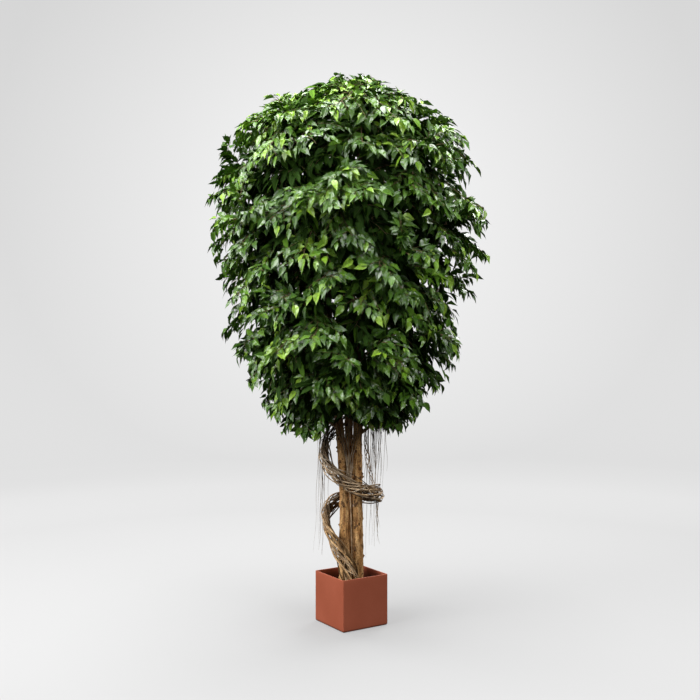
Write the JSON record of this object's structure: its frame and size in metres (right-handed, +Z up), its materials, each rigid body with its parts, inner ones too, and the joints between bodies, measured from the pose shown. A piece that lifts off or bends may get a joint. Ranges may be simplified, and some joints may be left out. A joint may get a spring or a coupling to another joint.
{
  "type": "potted ficus",
  "caption": "Tall potted ficus tree: slender knobbed trunks wound with a rope of lianas, a dense leafy crown and hanging aerial roots, in a plain square planter.",
  "frame": {"origin": "centre of the planter's underside, on the surface it stands on", "axes": "+Z up along the trunks; +X and +Y square to the planter's sides, so the planter's wide lit faces look along -X and -Y"},
  "size_m": [1.3918, 1.4063, 2.6974],
  "materials": {
    "terracotta_lacquer": "matt terracotta lacquer",
    "soil": "dark, rough, matt",
    "bark": "dry tan bark with small knobs",
    "liana_bark": "dry grey-brown vine",
    "leaf_green": "slightly waxy green"
  },
  "bodies": {
    "root": {"planter": "terracotta_lacquer", "soil": "soil", "trunk_right": "bark", "trunk_left": "bark", "trunk_back": "bark", "liana_1": "liana_bark", "liana_2": "liana_bark", "liana_3": "liana_bark", "liana_4": "liana_bark", "liana_5": "liana_bark", "liana_6": "liana_bark", "liana_7": "liana_bark", "vine": "liana_bark", "limb_right": "liana_bark", "limb_left": "liana_bark", "bough_01": "leaf_green", "bough_02": "leaf_green", "bough_03": "leaf_green", "bough_04": "leaf_green", "bough_05": "leaf_green", "bough_06": "leaf_green", "bough_07": "leaf_green", "bough_08": "leaf_green", "bough_09": "leaf_green", "bough_10": "leaf_green", "bough_11": "leaf_green", "bough_12": "leaf_green", "bough_13": "leaf_green", "bough_14": "leaf_green", "bough_15": "leaf_green", "bough_16": "leaf_green", "bough_17": "leaf_green", "bough_18": "leaf_green", "bough_19": "leaf_green", "bough_20": "leaf_green", "bough_21": "leaf_green", "bough_22": "leaf_green", "bough_23": "leaf_green", "bough_24": "leaf_green", "bough_25": "leaf_green"}
  },
  "joints": []
}
